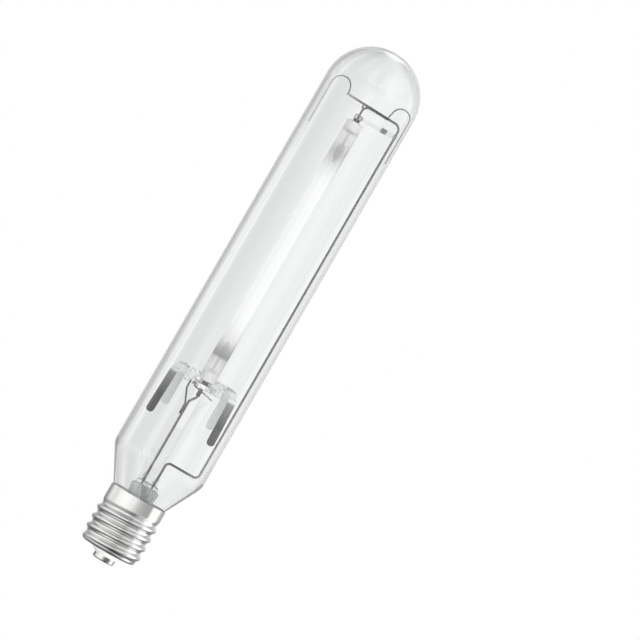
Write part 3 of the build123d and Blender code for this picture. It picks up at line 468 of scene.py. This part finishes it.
def make_world():
    """Studio round the lamp. A ray that has been reflected sees softboxes and grey walls, one that only
    passed glass sees a pale backdrop, matt pieces get an even light and the camera sees plain white."""
    world = bpy.data.worlds.new("studio")
    bpy.context.scene.world = world
    world.use_nodes = True
    world.cycles.sampling_method = "NONE"
    tree = world.node_tree
    tree.nodes.clear()
    where = add(tree, "ShaderNodeTexCoord")
    axes = add(tree, "ShaderNodeSeparateXYZ", links={"Vector": (where, "Generated")})
    towards = add(tree, "ShaderNodeMath", {1: -1.0}, {0: (axes, "Y")}, operation="MULTIPLY")
    azimuth = add(tree, "ShaderNodeMath", links={0: (axes, "X"), 1: (towards, 0)}, operation="ARCTAN2")
    turn = add(tree, "ShaderNodeMapRange", {"From Min": -math.pi, "From Max": math.pi},
               {"Value": (azimuth, 0)})
    rise = add(tree, "ShaderNodeMapRange", {"From Min": -1.0, "From Max": 1.0}, {"Value": (axes, "Z")})
    # Degrees to the right of the camera, and the level of the wall there
    wall_levels = ((-180, 0.90), (-173, 0.60), (-165, 0.55), (-150, 0.28), (-138, 0.32), (-126, 0.52),
                   (-108, 0.74), (-90, 0.86), (-66, 1.10), (-50, 1.18), (-26, 1.16), (-8, 0.98), (4, 0.80),
                   (20, 0.60), (40, 0.47), (60, 0.43), (100, 0.46), (136, 0.44), (160, 0.40), (170, 0.52),
                   (180, 0.90))
    walls = add(tree, "ShaderNodeValToRGB", links={"Fac": (turn, "Result")},
                stops=[((d + 180) / 360, level) for d, level in wall_levels])
    # Sine of the height angle: the room is dark below the lamp and dims overhead
    fade_levels = ((-1.0, 0.14), (-0.85, 0.22), (-0.6, 0.46), (-0.3, 0.84), (-0.15, 1.0), (0.15, 1.0),
                   (0.3, 0.84), (0.6, 0.68), (0.85, 0.42), (1.0, 0.3))
    fade = add(tree, "ShaderNodeValToRGB", links={"Fac": (rise, "Result")},
               stops=[((s + 1) / 2, level) for s, level in fade_levels])
    room = add(tree, "ShaderNodeMix", {"Factor": 1.0}, {"A": (walls, "Color"), "B": (fade, "Color")},
               data_type="RGBA", blend_type="MULTIPLY")
    # Soft lights on the walls and the ceiling: their levels by degrees to the right of the camera, and the
    # share of that by the sine of the height angle
    right_strip = (((68, 0), (76, 0.74), (114, 0.74), (128, 0)),
                   ((-0.8, 0), (-0.25, 1), (0.25, 1), (0.8, 0)))
    left_strip = (((-125, 0), (-121, 0.62), (-99, 0.62), (-95, 0)),
                  ((-0.044, 0), (-0.036, 1), (0.022, 1), (0.032, 0)))
    back_panels = (((-175, 0), (-167, 0.30), (-158, 0.22), (-142, 0.20), (-130, 0),
                    (120, 0), (132, 0.24), (158, 0.38), (169, 0.46), (177, 0)),
                   ((-0.044, 0), (-0.036, 1), (0.5, 1), (0.75, 0.6), (0.95, 0)))
    ceiling = (((-135, 0), (-112, 0.30), (-75, 0.30), (-50, 0),
                (5, 0), (35, 0.65), (85, 0.65), (110, 0.80), (132, 0)),
               ((0.12, 0), (0.3, 1), (0.8, 1), (0.97, 0)))
    low_right = (((25, 0), (48, 0.35), (80, 0.35), (108, 0.55), (130, 0)),
                 ((-0.92, 0), (-0.65, 1), (-0.35, 1), (-0.15, 0)))
    dome_light = (((-172, 1.0), (-166, 0), (165, 0), (171, 1.0)),
                  ((0.50, 0), (0.66, 1), (0.82, 1), (0.92, 0)))
    studio = room
    for directions, heights in (right_strip, left_strip, back_panels, ceiling, low_right, dome_light):
        across = add(tree, "ShaderNodeValToRGB", links={"Fac": (turn, "Result")},
                     stops=[((d + 180) / 360, level) for d, level in directions])
        along = add(tree, "ShaderNodeValToRGB", links={"Fac": (rise, "Result")},
                    stops=[((s + 1) / 2, level) for s, level in heights])
        panel = add(tree, "ShaderNodeMix", {"Factor": 1.0}, {"A": (across, "Color"), "B": (along, "Color")},
                    data_type="RGBA", blend_type="MULTIPLY")
        studio = add(tree, "ShaderNodeMix", {"Factor": 1.0},
                     {"A": (studio, "Result"), "B": (panel, "Result")}, data_type="RGBA", blend_type="ADD")
    # Degrees to the right of straight behind, and the level of the paper backdrop there: white, but greyer
    # towards the left in the few degrees that show through the tube. For those, angles are stretched about
    # the middle.
    stretch = 20
    upper_paper = ((-40, 1.0), (-22, 0.60), (-14.2, 0.60), (-12, 0.72), (-9.5, 0.88), (-5.5, 0.80),
                   (-4.7, 0.88), (-4.3, 0.75), (-3.5, 0.70), (-2.9, 0.70), (-2.16, 0.80), (-1.43, 0.82),
                   (-1.24, 0.88), (-0.22, 0.92), (0.18, 0.96), (1.03, 0.92), (2.0, 0.84), (2.8, 0.84),
                   (6.3, 0.93), (8.5, 1.0))
    lower_paper = ((-40, 1.0), (-22, 0.48), (-14.2, 0.44), (-9.5, 0.68), (-5.5, 0.82), (-4.7, 0.84),
                   (-4.3, 0.75), (-3.5, 0.70), (-2.9, 0.70), (-2.16, 0.78), (-1.85, 0.86), (-1.6, 0.88),
                   (-1.45, 0.79), (-1.3, 0.77), (-0.25, 0.86), (-0.05, 0.95), (0.2, 0.97), (0.4, 0.93),
                   (2.0, 0.84), (4.0, 0.86), (8.5, 1.0), (13, 1.0), (19, 0.75), (33, 0.75), (42, 1.0))

    def stretched(degrees):
        """Place from 0 to 1 of an angle on the stretched circle."""
        angle = math.radians(degrees)
        return 0.5 + math.atan2(stretch * math.sin(angle), math.cos(angle)) / (2 * math.pi)

    spread = add(tree, "ShaderNodeMath", {1: stretch}, {0: (axes, "X")}, operation="MULTIPLY")
    behind = add(tree, "ShaderNodeMath", links={0: (spread, 0), 1: (axes, "Y")}, operation="ARCTAN2")
    place = add(tree, "ShaderNodeMapRange", {"From Min": -math.pi, "From Max": math.pi},
                {"Value": (behind, 0)})
    upper = add(tree, "ShaderNodeValToRGB", links={"Fac": (place, "Result")},
                stops=[(stretched(d), level) for d, level in upper_paper])
    lower = add(tree, "ShaderNodeValToRGB", links={"Fac": (place, "Result")},
                stops=[(stretched(d), level) for d, level in lower_paper])
    # Sines of the height angle between which the lower part of the paper turns into the upper one
    lower_end, upper_start = -0.028, -0.004
    height = add(tree, "ShaderNodeMapRange", {"From Min": lower_end, "From Max": upper_start},
                 {"Value": (axes, "Z")})
    paper = add(tree, "ShaderNodeMix",
                links={"Factor": (height, "Result"), "A": (lower, "Color"), "B": (upper, "Color")},
                data_type="RGBA")
    path = add(tree, "ShaderNodeLightPath")
    even_light = 0.84
    seen = add(tree, "ShaderNodeMix",
               links={"Factor": (path, "Glossy Depth"), "A": (paper, "Result"), "B": (studio, "Result")},
               data_type="RGBA")
    lit = add(tree, "ShaderNodeMix", {"B": (even_light, even_light, even_light, 1)},
              {"Factor": (path, "Diffuse Depth"), "A": (seen, "Result")}, data_type="RGBA")
    shown = add(tree, "ShaderNodeMix", {"B": (1, 1, 1, 1)},
                {"Factor": (path, "Is Camera Ray"), "A": (lit, "Result")}, data_type="RGBA")
    light = add(tree, "ShaderNodeBackground", links={"Color": (shown, "Result")})
    add(tree, "ShaderNodeOutputWorld", links={"Surface": (light, "Background")})


def make_floor():
    """Plain pale floor below the held lamp: matt paint, lifted to white where it is looked at, but for the
    lamp's shadow."""
    drop, radius, seen_through_glass = 150 * MM, 0.75, 0.1
    # Metres from the middle, and the lift there: the shadow is near the middle
    near, near_lift, far, far_lift = 0.2, 0.08, 0.8, 0.4
    material, tree, where = new_material("white_studio_floor")
    distance = add(tree, "ShaderNodeVectorMath", links={0: (where, "Object")}, operation="LENGTH")
    rest = add(tree, "ShaderNodeMapRange",
               {"From Min": near, "From Max": far, "To Min": near_lift, "To Max": far_lift},
               {"Value": (distance, "Value")})
    path = add(tree, "ShaderNodeLightPath")
    through = add(tree, "ShaderNodeMath", {1: seen_through_glass}, {0: (path, "Is Transmission Ray")},
                  operation="MULTIPLY")
    lift = add(tree, "ShaderNodeMath",
               links={0: (path, "Is Camera Ray"), 1: (rest, "Result"), 2: (through, 0)},
               operation="MULTIPLY_ADD")
    shader = add(tree, "ShaderNodeBsdfPrincipled",
                 {"Base Color": linear("F2F2F2"), "Roughness": 0.9, "Emission Color": (1, 1, 1, 1)},
                 {"Emission Strength": (lift, 0)})
    add(tree, "ShaderNodeOutputMaterial", links={"Surface": (shader, "BSDF")})
    bpy.ops.mesh.primitive_circle_add(vertices=96, radius=radius, fill_type="NGON", location=(0, 0, -drop))
    floor = bpy.context.active_object
    floor.name = "studio_floor"
    floor.data.materials.append(material)
    floor.visible_glossy = False


def softbox(name, centre, size, power, mirrored):
    """Rectangular soft light aimed at the lamp's middle. Its place and size are in metres and its power in
    watts, and it shows in mirrors only where that is asked."""
    lamp_middle = Vector((0, 0, 180 * MM))
    data = bpy.data.lights.new(name, "AREA")
    data.shape = "RECTANGLE"
    data.size, data.size_y = size
    data.energy = power
    light = bpy.data.objects.new(name, data)
    light.location = centre
    aim = lamp_middle - Vector(centre)
    light.rotation_euler = aim.to_track_quat("-Z", "Y").to_euler()
    light.visible_camera = False
    light.visible_transmission = False
    light.visible_glossy = mirrored
    bpy.context.collection.objects.link(light)


bpy.ops.object.select_all(action="DESELECT")
make_camera()
make_world()
make_floor()
# Key and fill light the matt pieces, a small one the underside of the cap, and the two strips are highlights
softbox("key_softbox", (-0.9, -1.1, 1.1), (0.8, 0.8), 4.0, False)
softbox("fill_softbox", (1.2, -0.7, 0.5), (0.6, 0.9), 8.0, False)
softbox("under_softbox", (0.12, -0.045, -0.085), (0.05, 0.05), 0.11, False)
softbox("low_strip_softbox", (-0.013, -1.0, 0.104), (0.30, 0.08), 0.15, True)
softbox("high_strip_softbox", (-0.006, -1.0, 0.350), (0.30, 0.08), 0.08, True)
bpy.context.scene.view_settings.view_transform = "Standard"
